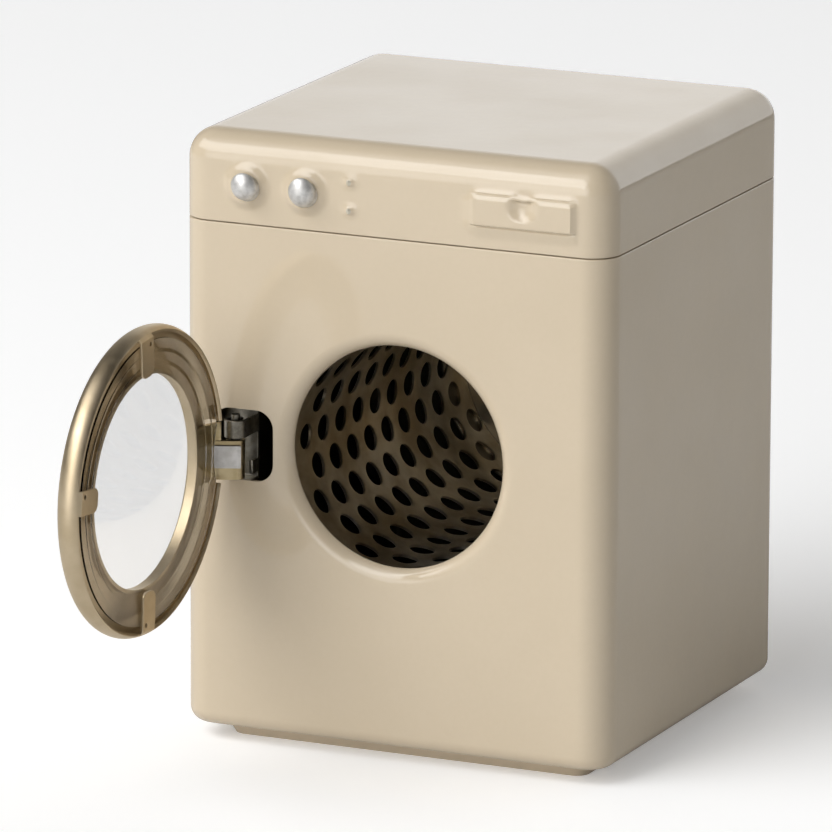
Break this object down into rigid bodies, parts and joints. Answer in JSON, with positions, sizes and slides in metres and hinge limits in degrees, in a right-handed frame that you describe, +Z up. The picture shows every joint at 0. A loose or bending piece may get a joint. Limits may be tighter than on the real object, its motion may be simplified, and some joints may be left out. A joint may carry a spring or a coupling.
{
  "type": "toy washing machine",
  "caption": "Doll's-house washing machine of pressed tin: lidded body with knobs and drawer relief, perforated turning drum, and a round window door on a side hinge.",
  "frame": {"origin": "centre of the plinth's underside, on the surface that the toy stands on", "axes": "+Z up, front face towards -Y, door hinge on the -X side"},
  "size_m": [0.06, 0.1013, 0.081],
  "materials": {
    "cream_enamel": "gloss stoved enamel on tin",
    "hinge_steel": "dull zinc-plated sheet",
    "bright_steel": "bright plated, lightly rubbed",
    "bush_brass": "turned brass",
    "drum_tin": "bare perforated tinplate",
    "satin_brass": "satin lacquered brass",
    "leaf_brass": "dull brass strip",
    "clear_window": "clear vacuum-formed plastic"
  },
  "bodies": {
    "body": {"body_shell": "cream_enamel", "back_panel": "cream_enamel", "lid": "cream_enamel", "base_tray": "cream_enamel", "hinge_bracket": "hinge_steel", "hinge_pin": "bright_steel", "bearing_bracket": "hinge_steel", "axle_bush": "bush_brass"},
    "drum": {"drum_shell": "drum_tin", "drum_back": "drum_tin", "drum_axle": "bright_steel", "axle_washer": "bright_steel", "axle_retainer": "bright_steel"},
    "door": {"door_ring": "satin_brass", "door_window": "clear_window", "hinge_leaf": "leaf_brass", "hinge_plate": "hinge_steel"},
    "left_knob": {"knob_left": "bright_steel", "knob_left_washer": "bright_steel"},
    "right_knob": {"knob_right": "bright_steel", "knob_right_washer": "bright_steel"}
  },
  "joints": [
    {"name": "door_hinge", "type": "hinge", "parent": "body", "child": "door", "pos_m": [-0.0219, -0.0292, 0.0402], "axis": [0, 0, 1], "range_deg": [-12, 91]},
    {"name": "drum_spin", "type": "hinge", "parent": "body", "child": "drum", "pos_m": [0.001, 0, 0.0405], "axis": [0, 1, 0], "continuous": true},
    {"name": "knob_left_turn", "type": "hinge", "parent": "body", "child": "left_knob", "pos_m": [-0.0204, -0.029, 0.0743], "axis": [0, -1, 0], "continuous": true},
    {"name": "knob_right_turn", "type": "hinge", "parent": "body", "child": "right_knob", "pos_m": [-0.0122, -0.029, 0.0743], "axis": [0, -1, 0], "continuous": true}
  ]
}
